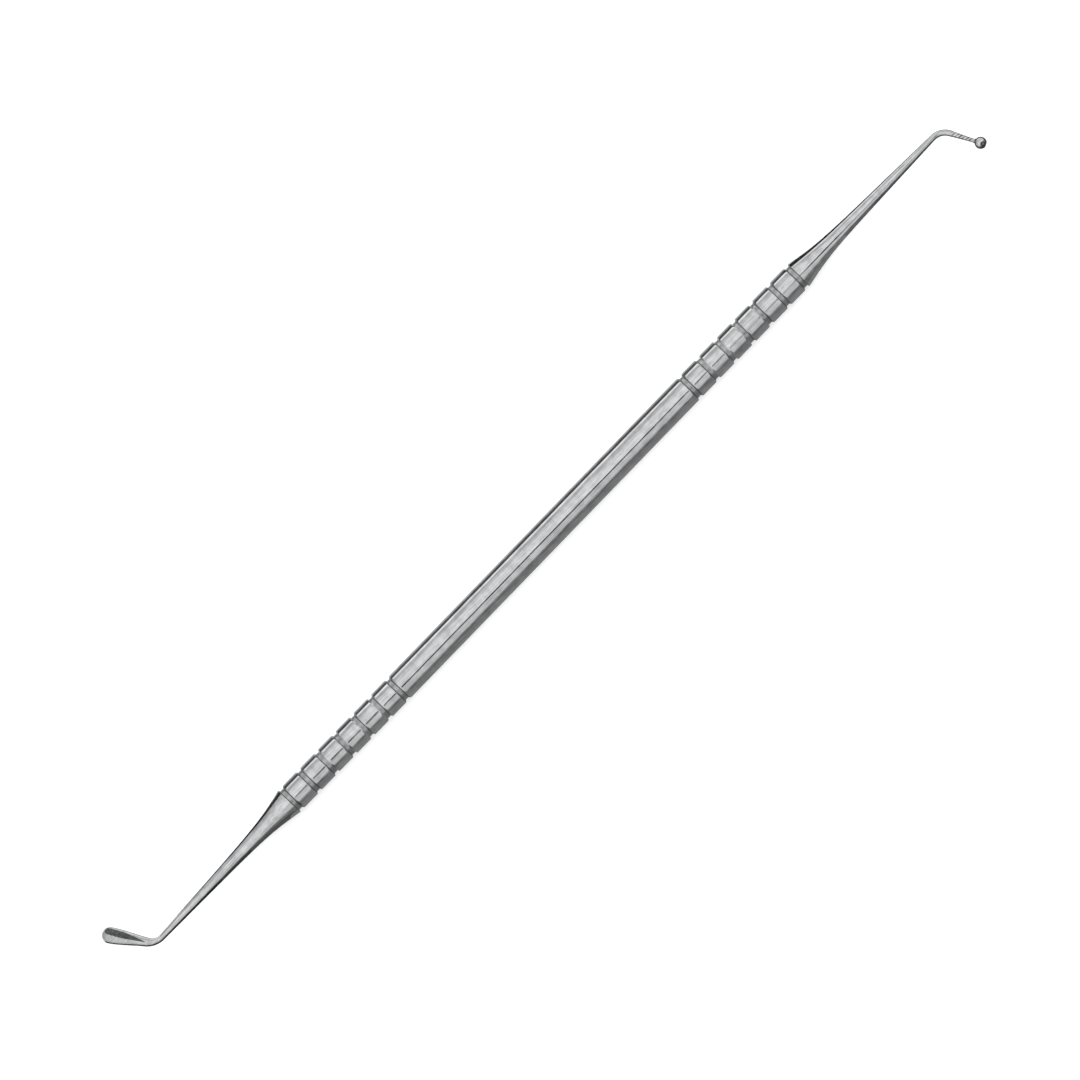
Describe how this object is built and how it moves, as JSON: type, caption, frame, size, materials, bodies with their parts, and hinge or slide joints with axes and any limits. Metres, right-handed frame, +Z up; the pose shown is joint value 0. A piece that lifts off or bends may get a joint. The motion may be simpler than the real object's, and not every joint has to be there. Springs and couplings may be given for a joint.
{
  "type": "dental plugger",
  "caption": "Slender steel dental hand instrument with a faceted, ribbed handle, tapered shanks, a small ball on one bent end and a flat rounded paddle on the other.",
  "frame": {"origin": "middle of the handle's lowest flat, halfway between the two groups of grooves", "axes": "+X along the handle towards the ball end, +Z up out of the surface it lies on; both ends are bent in the horizontal plane, the ball end towards -Y and the paddle end towards +Y"},
  "size_m": [0.1701, 0.0133, 0.0043],
  "materials": {
    "plugger": "polished flats on the handle, finely ground shanks and ends"
  },
  "bodies": {
    "root": {"plugger": "plugger"}
  },
  "joints": []
}
